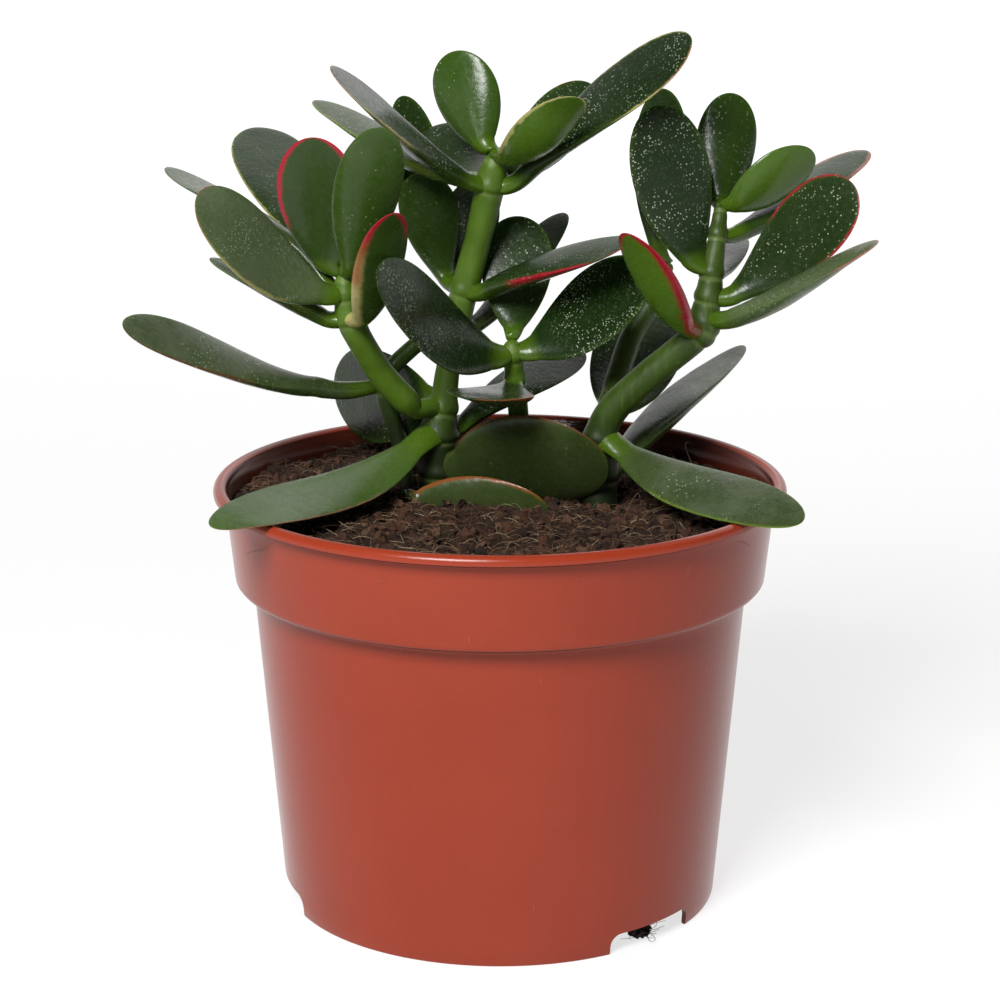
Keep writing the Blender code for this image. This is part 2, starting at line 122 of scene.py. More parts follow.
# Each light: (place, size, power in watts)
LIGHTS = {
    "key": ((-0.32, -0.80, 0.80), (0.40, 0.40), 20),
    "rear_fill": ((0.50, 0.90, 0.95), (1.60, 1.20), 5),
}

# Camera
CAMERA_PLACE = (0, -0.5632, 0.2365)
CAMERA_DOWN = 15.02
CAMERA_LENS_MM = 99.77
CAMERA_SENSOR_MM = 36

# Looks shared by several materials
PLASTIC_AND_WAX_SPECULAR = 0.28
FLESH_RADIUS = (0.6, 1.0, 0.25)  # how far red, green and blue light scatter in a leaf or stem

# Leaf skins: the colours of the upper and lower faces, how many pale specks, and how much whitish wax and
# painted sheen.
SKINS = {
    "dark": dict(upper=(0.0093, 0.0205, 0.0037), lower=(0.0161, 0.0360, 0.0037), speckles=0.5, wax_and_sheen=0.10),
    "deep": dict(upper=(0.0056, 0.0145, 0.0022), lower=(0.0124, 0.0295, 0.0030), speckles=1.0, wax_and_sheen=0.08),
    "starry": dict(upper=(0.0056, 0.0150, 0.0022), lower=(0.0124, 0.0295, 0.0030), speckles=1.5, wax_and_sheen=0.05),
    "plain": dict(upper=(0.0136, 0.0285, 0.0043), lower=(0.0186, 0.0422, 0.0043), speckles=0.0, wax_and_sheen=0.15),
    "mid": dict(upper=(0.0186, 0.0409, 0.0050), lower=(0.0236, 0.0527, 0.0050), speckles=0.2, wax_and_sheen=0.30),
    "olive": dict(upper=(0.0230, 0.0350, 0.0090), lower=(0.0250, 0.0390, 0.0090), speckles=0.1, wax_and_sheen=0.35),
    "grey": dict(upper=(0.0285, 0.0434, 0.0124), lower=(0.0236, 0.0496, 0.0056), speckles=0.45, wax_and_sheen=0.8),
    # Painted sheen: these colours are raised to stand for the whitish sheen of reflected light on these
    # leaves.
    "silver_painted_sheen": dict(upper=(0.0650, 0.0900, 0.0380), lower=(0.0620, 0.0880, 0.0350), speckles=1.0, wax_and_sheen=1.0),
    "pale": dict(upper=(0.0380, 0.0700, 0.0120), lower=(0.0330, 0.0640, 0.0080), speckles=0.0, wax_and_sheen=0.5),
    "bright": dict(upper=(0.0470, 0.1000, 0.0070), lower=(0.0560, 0.1150, 0.0070), speckles=0.0, wax_and_sheen=0.1),
    "young": dict(upper=(0.0347, 0.0732, 0.0056), lower=(0.0422, 0.0868, 0.0056), speckles=0.0, wax_and_sheen=0.1),
}
# The colours of the leaf margins.
INKS = {
    "red": (0.250, 0.0060, 0.0180),
    "pink": (0.260, 0.0930, 0.0744),
    "cream": (0.330, 0.290, 0.110),
    "brown": (0.0806, 0.0279, 0.0099),
    "lime": (0.0930, 0.143, 0.0155),
    "orange": (0.186, 0.0496, 0.0124),
}
# Each leaf: (skin, margins, hollow), where a margin is (side, from, to, width in mm, ink, strength). Side is
# as seen from the front, from and to are shares of the leaf's length, and hollow dishes the upper face.
LOOKS = {
    "crown_leaf_upright": ("mid", [], 0),
    "crown_leaf_cupped": ("young", [("both", 0.1, 1, 0.55, "cream", 0.7)], 0.28),
    "crown_leaf_right": (
        "deep",
        [("both", 0.6, 1, 0.5, "cream", 0.7), ("bottom", 0.8, 1, 0.7, "pink", 0.7)],
        0,
    ),
    "crown_leaf_right_rear": ("dark", [("both", 0.85, 1, 0.5, "brown", 0.5)], 0),
    "crown_leaf_left": (
        "deep",
        [("bottom", 0.5, 1, 0.6, "cream", 0.7), ("both", 0.9, 1, 0.7, "pink", 0.8)],
        0,
    ),
    "crown_leaf_left_rear": ("grey", [("bottom", 0.15, 1, 1.3, "lime", 0.9)], 0),
    "crown_leaf_rear": ("dark", [("both", 0.3, 1, 0.3, "lime", 0.3)], 0),
    "rear_leaf_tall": ("dark", [], 0),
    "rear_leaf_upright": ("dark", [], 0),
    "middle_leaf_left": ("mid", [("both", 0.3, 1, 0.3, "lime", 0.4)], 0),
    "middle_leaf_right": (
        "dark",
        [("bottom", 0.3, 0.8, 0.9, "red", 0.9), ("both", 0.92, 1, 1, "red", 0.7)],
        0,
    ),
    "middle_leaf_rear": ("grey", [], 0),
    "left_leaf_broad": (
        "silver_painted_sheen",
        [("bottom", 0.3, 1, 0.8, "cream", 0.7), ("both", 0.9, 1, 0.6, "red", 0.6)],
        0,
    ),
    "left_leaf_low": ("grey", [("bottom", 0.2, 1, 0.5, "lime", 0.6)], 0),
    "left_leaf_upright": ("mid", [], 0),
    "left_leaf_red_rimmed": (
        "plain",
        [("left", 0.35, 1, 1.7, "red", 1), ("right", 0.75, 1, 2.0, "red", 1)],
        0,
    ),
    "left_leaf_slim": ("grey", [("both", 0.85, 1, 0.6, "brown", 0.7)], 0),
    "left_leaf_rear": ("dark", [("left", 0.3, 1, 0.5, "cream", 0.6)], 0),
    "left_leaf_leaning": (
        "plain",
        [
            ("left", 0, 0.7, 2.0, "cream", 0.9),
            ("left", 0.45, 0.85, 1.8, "orange", 0.8),
            ("both", 0.78, 1, 1.6, "red", 1),
        ],
        0,
    ),
    "left_leaf_long": ("grey", [("bottom", 0.5, 1, 0.8, "brown", 0.8)], 0),
    "left_leaf_dark": ("dark", [], 0),
    "rim_leaf_left": ("pale", [("bottom", 0.3, 1, 0.5, "pink", 0.5)], 0),
    "low_leaf_rear": ("deep", [], 0),
    "soil_leaf_front": ("olive", [("top", 0.05, 0.95, 0.8, "orange", 0.8)], 0),
    "centre_leaf_left": ("starry", [], 0),
    "centre_leaf_right": ("starry", [], 0),
    "centre_leaf_upright": ("dark", [], 0),
    "centre_leaf_front": ("dark", [("bottom", 0.1, 1, 1.1, "orange", 1)], 0),
    "round_leaf_front": ("olive", [("top", 0.1, 1, 0.7, "brown", 0.9)], 0),
    "rim_leaf_right": ("grey", [("bottom", 0.3, 1, 0.8, "lime", 0.7)], 0),
    "rear_leaf_standing": ("grey", [("both", 0.9, 1, 0.6, "brown", 0.6)], 0),
    "right_leaf_tall": ("deep", [], 0),
    "right_leaf_red_backed": (
        "bright",
        [("right", 0.05, 1, 2.0, "red", 1), ("left", 0.8, 1, 1.6, "red", 1)],
        0,
    ),
    "right_leaf_broad": ("dark", [("both", 0.5, 1, 0.8, "red", 0.8)], 0),
    "right_leaf_low": ("silver_painted_sheen", [("both", 0.8, 1, 1.0, "pink", 0.9)], 0),
    "right_leaf_slim": ("dark", [("both", 0.75, 1, 1.3, "pink", 0.9)], 0),
    "right_leaf_young": ("young", [], 0),
    "right_leaf_oval": ("dark", [], 0),
    "right_leaf_short": ("dark", [], 0),
    "right_rear_leaf_tall": ("dark", [], 0),
    "right_rear_leaf_round": ("dark", [], 0),
}
STEMS = ("main_stem", "left_branch", "left_rear_stem", "centre_stem", "right_stem", "right_rear_branch")
# Painted shade: these stems take a darker copy of the green stem's colour, for the stems on the shaded right
# and at the rear.
SHADED_STEMS = ("right_stem", "right_rear_branch", "left_rear_stem")
PICTURE_UP = Vector((0, sin(radians(CAMERA_DOWN)), cos(radians(CAMERA_DOWN))))
SIDES = {
    "left": Vector((-1, 0, 0)),
    "right": Vector((1, 0, 0)),
    "top": PICTURE_UP,
    "bottom": -PICTURE_UP,
    "both": Vector((0, 0, 0)),
}


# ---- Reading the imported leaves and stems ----


def welded(node):
    """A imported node's points, merged where its faces meet, and each triangle's corners by number."""
    mesh = node.data
    mesh.calc_loop_triangles()
    points = np.array([vertex.co for vertex in mesh.vertices])
    _, first, number = np.unique(np.round(points / MM, 3), axis=0, return_index=True, return_inverse=True)
    corners = np.array([triangle.vertices for triangle in mesh.loop_triangles])
    return points[first], number.reshape(-1)[corners]


def neighbours_of(count, faces):
    found = [set() for _ in range(count)]
    for face in faces:
        for corner in face:
            found[corner] |= set(face) - {corner}
    return found


def rings_from(start, neighbours):
    """Point numbers, ring by ring, outwards from a starting ring."""
    seen, front, found = set(start), sorted(start), []
    while front:
        found.append(front)
        front = sorted({n for point in front for n in neighbours[point]} - seen)
        seen |= set(front)
    return found


def stem_line(node):
    """A stem's ring centres and radii, from its foot upwards."""
    points, faces = welded(node)
    neighbours = neighbours_of(len(points), faces)
    across = np.cross(points[faces[:, 1]] - points[faces[:, 0]], points[faces[:, 2]] - points[faces[:, 0]])
    across /= np.linalg.norm(across, axis=1)[:, None]
    offsets = np.sum(across * points[faces[:, 0]], axis=1) / MM
    planes = {}
    for face, way, offset in zip(faces, across, offsets):
        planes.setdefault((*np.round(way, 2), round(offset, 1)), set()).update(face)
    ends = []
    for corners in planes.values():
        rings = rings_from(corners, neighbours)
        if len(rings) > 2 and all(len(ring) == len(rings[0]) for ring in rings):
            ends.append([points[ring] for ring in rings])
    rings = min(ends, key=lambda found: found[0][:, 2].mean())
    centres = np.array([ring.mean(axis=0) for ring in rings])
    radii = np.array([np.linalg.norm(ring - ring.mean(axis=0), axis=1).mean() for ring in rings])
    return centres, radii


def leaf_rings(node, lines):
    """A leaf's rings of points from foot to tip, the foot being the end nearer to a stem."""
    points, faces = welded(node)
    neighbours = neighbours_of(len(points), faces)
    ends = []
    for point in range(len(points)):
        rings = rings_from({point}, neighbours)
        sizes = [len(ring) for ring in rings]
        if sizes[-1] == 1 and len(set(sizes[1:-1])) == 1 and len(sizes) > 6:
            ends.append(rings)
    rings = min(ends, key=lambda found: nearest_on(lines, points[found[0][0]])[2])
    return [points[ring] for ring in rings]


def nearest_on(lines, place):
    """The stem, the number of its point and the distance to it, nearest to a place."""
    best = None
    for name, (centres, _) in lines.items():
        gaps = np.linalg.norm(centres - place, axis=1)
        number = int(gaps.argmin())
        if best is None or gaps[number] < best[2]:
            best = (name, number, gaps[number])
    return best


def spline(values, where, parity=1):
    """A smooth curve through evenly spaced values. Parity -1 suits sizes that end in nothing."""
    values = np.asarray(values, float)
    padded = np.concatenate([parity * values[1:2], values, parity * values[-2:-1]])
    step = np.clip(np.floor(where).astype(int), 0, len(values) - 2)
    share = where - step
    if values.ndim > 1:
        share = share[:, None]
    a, b, c, d = padded[step], padded[step + 1], padded[step + 2], padded[step + 3]
    bend = (2 * a - 5 * b + 4 * c - d) * share**2 + (3 * b - a - 3 * c + d) * share**3
    return b + 0.5 * ((c - a) * share + bend)


def unit(vectors):
    return vectors / np.maximum(np.linalg.norm(vectors, axis=-1, keepdims=True), 1e-12)


def leaf_frame(rings):
    """Per ring: the middle of its margins, the way across, the half width, the upper and lower heights."""
    middles, ways = [rings[0][0]], []
    for ring in rings[1:-1]:
        gaps = np.linalg.norm(ring[:, None] - ring[None], axis=2)
        a, b = np.unravel_index(gaps.argmax(), gaps.shape)
        way = ring[b] - ring[a]
        if ways and way @ ways[-1] < 0:
            way = -way
        ways.append(way)
        middles.append((ring[a] + ring[b]) / 2)
    middles = np.array(middles + [rings[-1][0]])
    ways = np.array([ways[0] * 0] + ways + [ways[-1] * 0])
    half = np.linalg.norm(ways, axis=1) / 2
    ways[0], ways[-1] = ways[1], ways[-2]
    ways = unit(ways)
    upward = unit(np.cross(ways, np.gradient(middles, axis=0)))
    heights = [(ring - middle) @ up for ring, middle, up in zip(rings, middles, upward)]
    rise = np.array([max(0, height.max()) for height in heights])
    drop = np.array([max(0, -height.min()) for height in heights])
    if rise.sum() > drop.sum():
        ways, rise, drop = -ways, drop, rise
    return middles, ways, half, rise, drop


# ---- Meshes ----


def add_piece(name, points, faces, attributes=None, smooth=True):
    mesh = bpy.data.meshes.new(name)
    mesh.from_pydata([tuple(point) for point in points], [], [tuple(face) for face in faces])
    for key, values in (attributes or {}).items():
        mesh.attributes.new(key, "FLOAT", "POINT").data.foreach_set("value", np.asarray(values, np.float32))
    if smooth:
        mesh.shade_smooth()
    mesh.validate()
    obj = bpy.data.objects.new(name, mesh)
    bpy.context.scene.collection.objects.link(obj)
    return obj


def tube_faces(rows, around, start_cap=True, end_cap=True):
    """Faces of a tube of rows of points. Each cap is a fan to one more point, added after the rows."""
    faces = []
    for row in range(rows - 1):
        for i in range(around):
            j = (i + 1) % around
            faces.append((row * around + i, row * around + j, (row + 1) * around + j, (row + 1) * around + i))
    pole = rows * around
    if start_cap:
        faces += [(pole, (i + 1) % around, i) for i in range(around)]
        pole += 1
    if end_cap:
        last = (rows - 1) * around
        faces += [(pole, last + i, last + (i + 1) % around) for i in range(around)]
    return faces


def leaf_piece(name, rings, lines, hollow):
    middles, ways, half, rise, drop = leaf_frame(rings)
    last = len(middles) - 1
    where = PETIOLE_RING + (last - PETIOLE_RING) * np.linspace(0, 0.985, LEAF_ROWS)
    middle = spline(middles, where)
    way = unit(spline(ways, where))
    sizes = [spline(size, where, parity=-1) for size in (half, rise, drop)]
    along = (1 - np.cos(pi * where / last)) / 2

    # The petiole runs on from there into the stem, growing rounder
    stem, number, gap = nearest_on(lines, middles[0])
    axis_point, stem_radius = lines[stem][0][number], lines[stem][1][number]
    joined = gap < stem_radius + PETIOLE_REACH_MM * MM
    root = middles[0]
    if joined:
        root = axis_point + (middles[0] - axis_point) * (PETIOLE_DEPTH * stem_radius / gap)
    share = np.linspace(0, 1, PETIOLE_ROWS, endpoint=False)[:, None]
    reach = np.linalg.norm(middle[0] - root)
    out_way, in_way = unit(middles[0] - root + 1e-9), unit(middle[1] - middle[0])
    control_a, control_b = root + out_way * reach / 3, middle[0] - in_way * reach / 3
    petiole = (1 - share) ** 3 * root + 3 * (1 - share) ** 2 * share * control_a
    petiole += 3 * (1 - share) * share**2 * control_b + share**3 * middle[0]
    flare = 1 + PETIOLE_FLARE * (1 - share[:, 0]) ** 2
    slim = min(1, PETIOLE_WIDTH * stem_radius / sizes[0][0]) if joined else 1
    round_off = 0.8 * sizes[0][0] * slim
    petiole_sizes = [sizes[0][0] * flare * (share[:, 0] + slim * (1 - share[:, 0]))]
    petiole_sizes += [flare * (size[0] * share[:, 0] + round_off * (1 - share[:, 0])) for size in sizes[1:]]
    sizes[1:] = [size * (1 + TIP_PLUMPNESS * along**4) for size in sizes[1:]]
    middle = np.concatenate([petiole, middle])
    way = np.concatenate([np.repeat(way[:1], PETIOLE_ROWS, axis=0), way])
    half, rise, drop = (np.concatenate(pair)[:, None] for pair in zip(petiole_sizes, sizes))
    along = np.concatenate([along[0] * share[:, 0], along])
    upward = unit(np.cross(way, np.gradient(middle, axis=0)))

    angle = 2 * pi * np.arange(LEAF_AROUND) / LEAF_AROUND
    x, y = np.cos(angle)[None], np.sin(angle)[None]
    height = np.where(y >= 0, rise, -drop) * np.abs(y) ** (2 * MARGIN_SHARPNESS)
    dish = hollow * half * np.sin(pi * along[:, None]) ** 2 * (1 - x**2)
    height = height - dish * np.where(y >= 0, 1, DISH_BELOW)
    points = middle[:, None] + way[:, None] * (half * x)[..., None] + upward[:, None] * height[..., None]
    points = points.reshape(-1, 3)
    places = [Vector(point) for point in points]
    wave = np.array([noise.noise(place * 70) + 0.4 * noise.noise(place * 210) for place in places])
    lift = LEAF_WAVE_MM * MM * np.repeat(np.clip(along * 6, 0, 1), LEAF_AROUND) * wave
    points += np.repeat(upward, LEAF_AROUND, axis=0) * lift[:, None]
    points = np.concatenate([points, [root], [middles[-1]]])
    values = {
        "along": np.append(np.repeat(along, LEAF_AROUND), [0, 1]),
        "margin_mm": np.append((half * (1 - np.abs(x))).reshape(-1) / MM, [3, 0]),
        "side": np.append(np.tile(x[0], len(middle)), [0, 0]),
        "face": np.append(np.tile(y[0], len(middle)), [0, 0]),
    }
    obj = add_piece(f"{name}_skin", points, tube_faces(len(middle), LEAF_AROUND), values)
    return obj, Vector(way[len(way) // 2]), (stem, number) if joined else None


def transported(points):
    """Two ways across each point of a line, turning no more than the line does."""
    tangents = unit(np.gradient(points, axis=0))
    first = unit(np.cross(tangents[0], [0, 1, 0.2]))
    across = [first]
    for tangent in tangents[1:]:
        across.append(unit(across[-1] - tangent * (across[-1] @ tangent)))
    across = np.array(across)
    return across, np.cross(tangents, across)


def stem_samples(centres, radii):
    """The stem's line at even short steps, with its radii."""
    ahead = 2 * centres[-1] - centres[-2]
    behind = 2 * centres[0] - centres[1]
    where = np.linspace(0, len(centres) - 1, 600)
    padded = np.concatenate([[behind], centres, [ahead]])
    line = spline(padded, where + 1)
    size = np.interp(where, np.arange(len(radii)), radii)
    length = np.concatenate([[0], np.cumsum(np.linalg.norm(np.diff(line, axis=0), axis=1))])
    even = np.arange(0, length[-1], STEM_STEP_MM * MM)
    line = np.stack([np.interp(even, length, line[:, i]) for i in range(3)], axis=1)
    return line, np.interp(even, length, size), even


def stem_piece(name, lines, attached):
    centres, radii = lines[name]
    line, size, even = stem_samples(centres, radii)
    nodes = []
    for place in attached:
        at = even[np.linalg.norm(line - place, axis=1).argmin()]
        if all(abs(at - other) > NODE_SPACING_MM * MM for other in nodes):
            nodes.append(at)
    others = {other: found for other, found in lines.items() if other != name}
    parent, number, gap = nearest_on(others, line[0])
    if line[0][2] > (SOIL_LEVEL_MM + BRIDGE_CLEAR_MM) * MM and gap < BRIDGE_MM * MM:
        steps = np.linspace(0, 1, BRIDGE_ROWS, endpoint=False)[:, None]
        bridge = others[parent][0][number] * (1 - steps) + line[0] * steps
        line = np.concatenate([bridge, line])
        size = np.concatenate([np.full(BRIDGE_ROWS, size[0]), size])
        even = np.concatenate([np.linspace(-gap, 0, BRIDGE_ROWS, endpoint=False), even])
    distance = np.full(len(even), FAR_MM)
    for at in nodes:
        gap = (even - at) / MM
        size = size + MM * NODE_SWELL_MM * np.exp(-((gap / NODE_WIDTH_MM) ** 2))
        size = size - MM * GROOVE_MM * np.exp(-(((gap + GROOVE_BELOW_MM) / GROOVE_WIDTH_MM) ** 2))
        distance = np.minimum(distance, np.abs(gap + GROOVE_BELOW_MM))
    rounding = np.clip((even[-1] - even) / (1.2 * size), 0, 1)
    size = size * np.sqrt(1 - (1 - rounding) ** 2 * 0.96)
    first, second = transported(line)
    angle = 2 * pi * np.arange(STEM_AROUND) / STEM_AROUND
    ring = first[:, None] * np.cos(angle)[None, :, None] + second[:, None] * np.sin(angle)[None, :, None]
    points = (line[:, None] + ring * size[:, None, None]).reshape(-1, 3)
    wave = np.array([noise.noise(Vector(point) * 160) for point in points])
    points += ring.reshape(-1, 3) * (wave * STEM_WAVE_MM * MM)[:, None]
    points = np.concatenate([points, line[:1], line[-1:]])
    values = {
        "node_mm": np.append(np.repeat(distance, STEM_AROUND), [FAR_MM, FAR_MM]),
        "height_mm": points[:, 2] / MM,
    }
    return add_piece(f"{name}_skin", points, tube_faces(len(line), STEM_AROUND), values)


# ---- Pot ----


def pot_profile():
    """(radius, height) in millimetres: up the inside, over the lip, down the outside, in under the base."""
    lip = [(58.55 + 1.45 * sin(a), 88.75 + 1.45 * cos(a)) for a in np.radians(np.linspace(-80, 90, 12))]
    tuck = [(59.95, 88.3), (59.6, 88.0), (58.4, 87.9), (57.75, 87.6), (57.55, 87.0)]
    step = [(55.85, 70.9), (55.75, 70.2), (55.4, 69.75), (54.8, 69.5)]
    step += [(52.9, 69.3), (52.2, 68.9), (51.95, 68.2)]
    foot = [(46.35, 0.5), (46.2, 0.1), (45.9, 0.0), (45.5, 0.0)]
    foot += [(45.3, 0.1), (45.2, 0.5), (45.6, 4.8), (45.2, 5.0)]
    inside = [(0, 6.2), (44.2, 6.2), (45.7, 7.7), (50.85, 67.4), (51.3, 68.0), (54.3, 69.0), (54.65, 69.6)]
    inside += [(56.45, 87.8), (56.9, 88.4)]
    return inside + lip + tuck + step + foot + [(0, 5.0)]


def subdivided(profile, longest):
    """The same profile with long straight runs cut up, so that the shading stays even."""
    points = [profile[0]]
    for a, b in zip(profile, profile[1:]):
        cuts = max(1, int(np.hypot(b[0] - a[0], b[1] - a[1]) // longest))
        for i in range(1, cuts + 1):
            points.append((a[0] + (b[0] - a[0]) * i / cuts, a[1] + (b[1] - a[1]) * i / cuts))
    return points


def around(radius, degrees):
    """A point at this distance from the axis, its angle measured from the front towards +X."""
    return radius * sin(radians(degrees)), -radius * cos(radians(degrees))


def lathe(profile, steps):
    """Points and faces of a solid of revolution. The profile starts and ends on the axis."""
    rings = profile[1:-1]
    points = []
    for radius, height in rings:
        points += [(*around(radius * MM, 360 * i / steps), height * MM) for i in range(steps)]
    points += [(0, 0, profile[0][1] * MM), (0, 0, profile[-1][1] * MM)]
    return points, [face[::-1] for face in tube_faces(len(rings), steps)]


def notch_tool(degrees):
    shape = bmesh.new()
    bmesh.ops.create_cube(shape, size=1)
    width = 2 * FOOT_RADIUS_MM * sin(radians(NOTCH_HALF_ANGLE))
    size = (width * MM, NOTCH_DEPTH_MM * MM, 2 * NOTCH_HEIGHT_MM * MM)
    bmesh.ops.scale(shape, vec=size, verts=shape.verts)
    upper = [edge for edge in shape.edges if all(v.co.z > 0 for v in edge.verts)]
    upper = [edge for edge in upper if abs(edge.verts[0].co.y - edge.verts[1].co.y) > MM]
    corner = NOTCH_CORNER_MM * MM
    bmesh.ops.bevel(shape, geom=upper, offset=corner, segments=8, affect="EDGES", profile=0.5)
    return tool_object(shape, (*around(NOTCH_MIDDLE_MM * MM, degrees), 0), radians(degrees))


def drain_tool(degrees):
    shape = bmesh.new()
    radius = DRAIN_RADIUS_MM * MM
    bmesh.ops.create_cone(shape, cap_ends=True, segments=48, radius1=radius, radius2=radius, depth=4 * MM)
    return tool_object(shape, (*around(DRAIN_CIRCLE_MM * MM, degrees), BASE_MIDDLE_MM * MM), 0)


def tool_object(shape, place, turn):
    mesh = bpy.data.meshes.new("tool")
    shape.to_mesh(mesh)
    shape.free()
    obj = bpy.data.objects.new("tool", mesh)
    bpy.context.scene.collection.objects.link(obj)
    obj.location = place
    obj.rotation_euler = (0, 0, turn)
    return obj


def build_pot():
    pot = add_piece("pot_moulding", *lathe(subdivided(pot_profile(), 2.5), POT_STEPS))
    tools = [notch_tool(degrees) for degrees in NOTCH_ANGLES]
    tools += [drain_tool(NOTCH_ANGLES[0] + 360 // DRAINS * i) for i in range(DRAINS)]
    for tool in tools:
        boolean = pot.modifiers.new("Cut", "BOOLEAN")
        boolean.operation = "DIFFERENCE"
        boolean.solver = "EXACT"
        boolean.object = tool
    bpy.context.view_layer.update()
    finished = bpy.data.meshes.new_from_object(pot.evaluated_get(bpy.context.evaluated_depsgraph_get()))
    pot.modifiers.clear()
    pot.data = finished
    for tool in tools:
        bpy.data.objects.remove(tool)
    finished.set_sharp_from_angle(angle=radians(40))
    return pot


# ---- Soil ----


def soil_height(x, y):
    """The packed soil's surface in millimetres: a mound at the left rear, and low waves."""
    mound = 2.6 * exp(-((x + 36) ** 2 + (y - 20) ** 2) / 14**2)
    return SOIL_LEVEL_MM + mound + 0.7 * sin(x / 7 + 1.3) * cos(y / 9) + 0.4 * sin((x + y) / 5)


def clods(x, y):
    """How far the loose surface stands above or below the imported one."""
    place = Vector((x, y, 0))
    lumps = 1 - 2 * abs(noise.noise(place / 5.2))
    grains = 1 - 2 * abs(noise.noise(place / 2.1 + Vector((9, 4, 0))))
    height = 0.8 + 1.5 * lumps + 0.60 * grains
    return height + 0.55 * noise.noise(place / 0.8) + 0.2 * noise.noise(place / 0.35)


def soil_top(x, y):
    return soil_height(x, y) + clods(x, y)


def build_soil_surface():
    radii = SOIL_RADIUS_MM * np.linspace(0, 1, SOIL_RINGS + 1)[1:] ** 0.8
    points = [(0, 0, soil_top(0, 0) * MM)]
    for radius in radii:
        for i in range(SOIL_SPOKES):
            x, y = around(radius, 360 * i / SOIL_SPOKES)
            points.append((x * MM, y * MM, soil_top(x, y) * MM))
    faces = [(0, 1 + i, 1 + (i + 1) % SOIL_SPOKES) for i in range(SOIL_SPOKES)]
    for ring in range(SOIL_RINGS - 1):
        for i in range(SOIL_SPOKES):
            j = (i + 1) % SOIL_SPOKES
            a, b = 1 + ring * SOIL_SPOKES, 1 + (ring + 1) * SOIL_SPOKES
            faces.append((a + i, b + i, b + j, a + j))
    return add_piece("soil_surface", points, faces)


def random_place(rng, most):
    radius = most * rng.random() ** 0.5
    angle = 2 * pi * rng.random()
    return radius * cos(angle), radius * sin(angle)


def crumb_shape(level):
    shape = bmesh.new()
    bmesh.ops.create_icosphere(shape, subdivisions=level, radius=1)
    points = np.array([vertex.co for vertex in shape.verts])
    faces = [[vertex.index for vertex in face.verts] for face in shape.faces]
    shape.free()
    return points, faces


def build_crumbs(name, rng, count, places, smallest, largest):
    """Irregular grains resting on the places given, as one piece."""
    blank, blank_faces = crumb_shape(2)
    points, faces, tones = [], [], []
    for i in range(count):
        x, y, z = places(rng)
        size = smallest + (largest - smallest) * rng.random() ** 3
        stretch = rng.uniform(0.35, 1.5, 3)
        rough = 1 + 0.28 * rng.standard_normal(len(blank))[:, None]
        turn, _ = np.linalg.qr(rng.standard_normal((3, 3)))
        grain = (blank * stretch * rough) @ turn * size + (x, y, z + 0.35 * size)
        faces += [[corner + len(blank) * i for corner in face] for face in blank_faces]
        points.append(grain * MM)
        tones += [rng.random()] * len(blank)
    return add_piece(name, np.concatenate(points), faces, {"tone": tones}, smooth=False)


def build_fibres(name, rng, lines):
    """Thin plant fibres, each (points in mm, thickness in mm), as one piece."""
    points, faces, tones = [], [], []
    sides = 4
    for line, thickness in lines:
        first, second = transported(line)
        taper = np.linspace(1, 0.5, len(line))[:, None]
        ring = [first * cos(pi * i / 2) + second * sin(pi * i / 2) for i in range(sides)]
        tube = np.stack([line + way * taper * thickness for way in ring], axis=1).reshape(-1, 3)
        start = sum(len(part) for part in points)
        points.append(np.concatenate([tube, line[:1], line[-1:]]) * MM)
        faces += [[corner + start for corner in face] for face in tube_faces(len(line), sides)]
        tones += [rng.random()] * len(points[-1])
    return add_piece(name, np.concatenate(points), faces, {"tone": tones})


def loose_fibre(rng, place, length, lift):
    """A bent fibre lying near a place, as points in millimetres."""
    heading = 2 * pi * rng.random()
    bend = rng.uniform(-2.2, 2.2)
    line = [np.array(place, float)]
    for i in range(8):
        heading += bend / 8
        climb = lift * (1 - i / 4)
        line.append(line[-1] + np.array([cos(heading), sin(heading), climb]) * length / 8)
    return np.array(line)


# ---- Materials ----


def add_node(tree, kind, inputs=None, **settings):
    """A shader node. An input that is a socket is linked, and any other is set."""
    made = tree.nodes.new(kind)
    for key, value in settings.items():
        setattr(made, key, value)
    for key, value in (inputs or {}).items():
        if isinstance(value, bpy.types.NodeSocket):
            tree.links.new(value, made.inputs[key])
        else:
            made.inputs[key].default_value = value
    return made


def new_material(name):
    """A material's node tree, its shader, and the place on the object in metres."""
    made = bpy.data.materials.new(name)
    made.use_nodes = True
    tree = made.node_tree
    place = add_node(tree, "ShaderNodeTexCoord").outputs["Object"]
    return made, tree, tree.nodes["Principled BSDF"], place


def attribute(tree, name):
    return add_node(tree, "ShaderNodeAttribute", attribute_name=name).outputs["Fac"]


def maths(tree, operation, *values):
    return add_node(tree, "ShaderNodeMath", dict(enumerate(values)), operation=operation).outputs[0]


def ramp(tree, value, low, high, to_low=0.0, to_high=1.0):
    """A smooth step from to_low at low to to_high at high."""
    inputs = {"Value": value, "From Min": low, "From Max": high, "To Min": to_low, "To Max": to_high}
    return add_node(tree, "ShaderNodeMapRange", inputs, interpolation_type="SMOOTHSTEP").outputs["Result"]


def mix(tree, share, a, b, blend_type="MIX"):
    a, b = ((*value, 1) if isinstance(value, tuple) else value for value in (a, b))
    made = add_node(tree, "ShaderNodeMix", {0: share, 6: a, 7: b}, data_type="RGBA", blend_type=blend_type)
    return made.outputs[2]


def noise_at(tree, place, scale, detail=2.0, roughness=0.55):
    inputs = {"Vector": place, "Scale": scale, "Detail": detail, "Roughness": roughness}
    return add_node(tree, "ShaderNodeTexNoise", inputs).outputs["Fac"]


def stretched(tree, place, scale):
    return add_node(tree, "ShaderNodeMapping", {"Vector": place, "Scale": scale}).outputs[0]


def bump(tree, shader, height, strength, distance):
    inputs = {"Height": height, "Strength": strength, "Distance": distance}
    tree.links.new(add_node(tree, "ShaderNodeBump", inputs).outputs[0], shader.inputs["Normal"])


